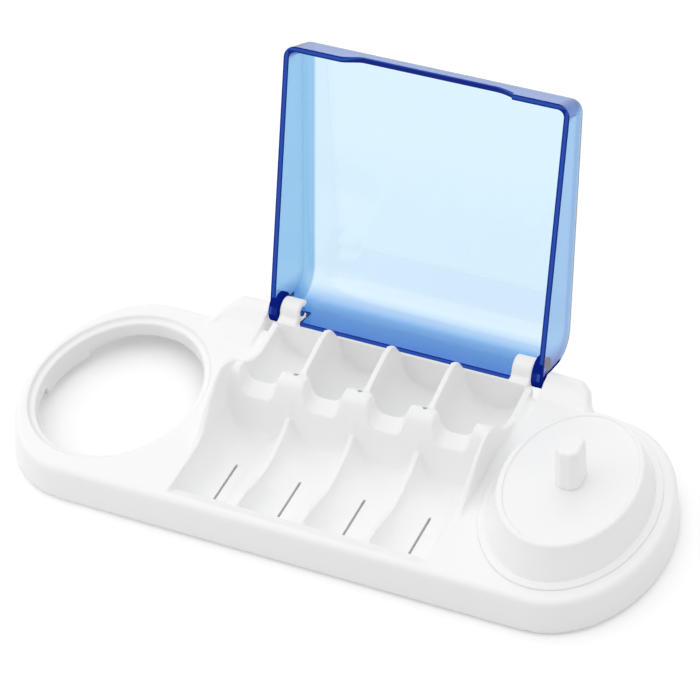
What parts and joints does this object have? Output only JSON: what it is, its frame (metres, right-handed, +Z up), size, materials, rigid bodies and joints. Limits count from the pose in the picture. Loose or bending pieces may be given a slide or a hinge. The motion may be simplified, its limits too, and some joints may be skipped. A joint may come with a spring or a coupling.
{
  "type": "electric toothbrush holder",
  "caption": "White moulded tray with an open ring, bays for brush heads under a hinged clear blue lid, and a lift-out oval inductive charger with a post.",
  "frame": {"origin": "on the counter, under the middle of the bounding box with the lid open", "axes": "+X along the tray towards the charger, +Y to the back, +Z up"},
  "size_m": [0.2122, 0.1252, 0.1023],
  "materials": {
    "white_plastic": "satin white",
    "clear_blue": "clear, polished",
    "grey_rubber": "matte",
    "zinc_steel": "zinc plated",
    "copper_wire": "enamelled copper",
    "ferrite": "sintered, matte",
    "natural_nylon": "matte",
    "green_laminate": "solder mask",
    "black_epoxy": "matte",
    "red_film": "dipped"
  },
  "bodies": {
    "tray": {"base_tray": "white_plastic", "tray_foot_front_left": "grey_rubber", "tray_foot_front_right": "grey_rubber", "tray_foot_rear_left": "grey_rubber", "tray_foot_rear_right": "grey_rubber"},
    "lid": {"lid_shell": "clear_blue"},
    "charger": {"charger_housing": "white_plastic", "charger_base": "white_plastic", "charger_seal": "grey_rubber", "charger_pad_1": "grey_rubber", "charger_pad_2": "grey_rubber", "charger_pad_3": "grey_rubber", "charger_pad_4": "grey_rubber", "base_screw_1": "zinc_steel", "base_screw_2": "zinc_steel", "base_screw_3": "zinc_steel", "cord_gland": "grey_rubber", "coil_bobbin": "natural_nylon", "primary_coil": "copper_wire", "ferrite_core": "ferrite", "circuit_board": "green_laminate", "power_inductor": "ferrite", "filter_capacitor": "black_epoxy", "bridge_rectifier": "black_epoxy", "driver_chip": "black_epoxy", "input_fuse": "natural_nylon", "resonant_capacitor": "red_film"}
  },
  "joints": [
    {"name": "lid_hinge", "type": "hinge", "parent": "tray", "child": "lid", "pos_m": [0.0025, 0.02705, 0.0159], "axis": [1, 0, 0], "range_deg": [0, 106.5]},
    {"name": "charger_lift", "type": "slide", "parent": "tray", "child": "charger", "axis": [0, 0, 1], "range_m": [0, 0.04]}
  ]
}
